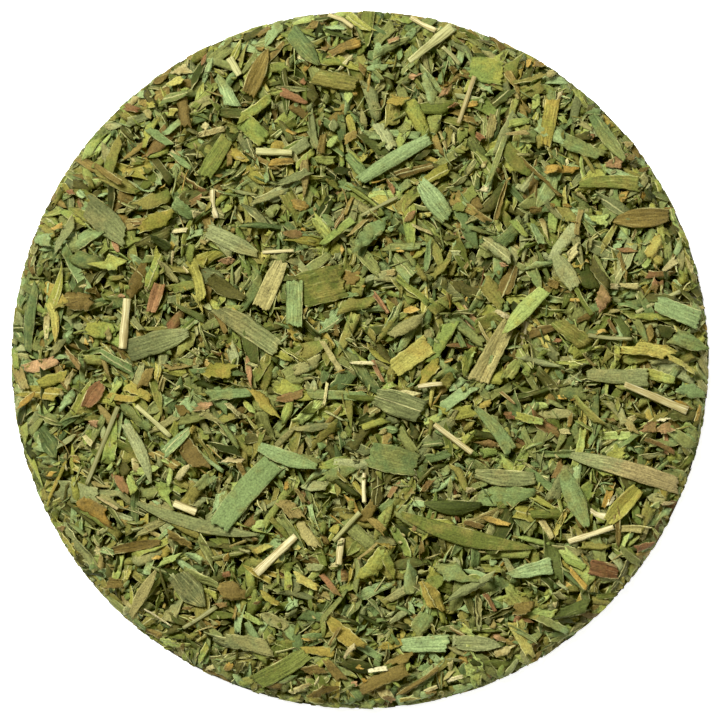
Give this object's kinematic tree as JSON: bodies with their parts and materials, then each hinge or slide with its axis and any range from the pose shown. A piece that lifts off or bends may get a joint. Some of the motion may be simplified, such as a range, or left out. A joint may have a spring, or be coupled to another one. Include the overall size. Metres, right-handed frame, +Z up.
{
  "type": "heap of dried cut tarragon",
  "caption": "Round, shallow heap of dried and cut tarragon: small tangled leaf cuttings below, with larger strips of leaf and stubs of stalk lying loose on top.",
  "frame": {"origin": "middle of the heap's underside, on the surface it lies on", "axes": "+Z up; +X to the right and +Y up the picture when seen from straight above"},
  "size_m": [0.1, 0.1, 0.0125],
  "materials": {
    "bed_leaf": "matt, chopped leaf bed",
    "green_leaf": "matt, green leaf cutting",
    "bright_leaf": "matt, fresh green leaf cutting",
    "grey_leaf": "matt, grey green leaf cutting",
    "olive_leaf": "matt, olive leaf cutting",
    "dark_leaf": "matt, dark leaf cutting",
    "brown_leaf": "matt, brown leaf cutting",
    "yellow_leaf": "matt, yellowed leaf cutting",
    "russet_leaf": "matt, russet leaf cutting",
    "straw_stem": "matt, straw coloured stalk cutting"
  },
  "bodies": {
    "root": {"bright_leaf_08": "bright_leaf", "bright_leaf_10": "bright_leaf", "bright_leaf_17": "bright_leaf", "bright_leaf_25": "bright_leaf", "bright_leaf_32": "bright_leaf", "bright_leaf_36": "bright_leaf", "bright_leaf_37": "bright_leaf", "bright_leaf_42": "bright_leaf", "brown_leaf_02": "brown_leaf", "brown_leaf_14": "brown_leaf", "brown_leaf_24": "brown_leaf", "brown_leaf_44": "brown_leaf", "dark_leaf_29": "dark_leaf", "dark_leaf_35": "dark_leaf", "dark_leaf_41": "dark_leaf", "green_leaf_04": "green_leaf", "green_leaf_05": "green_leaf", "green_leaf_13": "green_leaf", "green_leaf_16": "green_leaf", "green_leaf_21": "green_leaf", "green_leaf_27": "green_leaf", "green_leaf_28": "green_leaf", "green_leaf_31": "green_leaf", "green_leaf_34": "green_leaf", "grey_leaf_03": "grey_leaf", "grey_leaf_06": "grey_leaf", "grey_leaf_07": "grey_leaf", "grey_leaf_11": "grey_leaf", "grey_leaf_18": "grey_leaf", "grey_leaf_30": "grey_leaf", "grey_leaf_33": "grey_leaf", "grey_leaf_38": "grey_leaf", "grey_leaf_43": "grey_leaf", "herb_bed": "bed_leaf", "olive_leaf_01": "olive_leaf", "olive_leaf_09": "olive_leaf", "olive_leaf_12": "olive_leaf", "olive_leaf_15": "olive_leaf", "olive_leaf_22": "olive_leaf", "olive_leaf_23": "olive_leaf", "olive_leaf_40": "olive_leaf", "russet_leaf_45": "russet_leaf", "russet_leaf_46": "russet_leaf", "russet_leaf_47": "russet_leaf", "straw_stem_01": "straw_stem", "straw_stem_02": "straw_stem", "straw_stem_03": "straw_stem", "straw_stem_04": "straw_stem", "straw_stem_05": "straw_stem", "straw_stem_06": "straw_stem", "straw_stem_07": "straw_stem", "straw_stem_08": "straw_stem", "straw_stem_09": "straw_stem", "straw_stem_10": "straw_stem", "straw_stem_11": "straw_stem", "yellow_leaf_19": "yellow_leaf", "yellow_leaf_20": "yellow_leaf", "yellow_leaf_26": "yellow_leaf", "yellow_leaf_39": "yellow_leaf", "yellow_leaf_48": "yellow_leaf"}
  },
  "joints": []
}
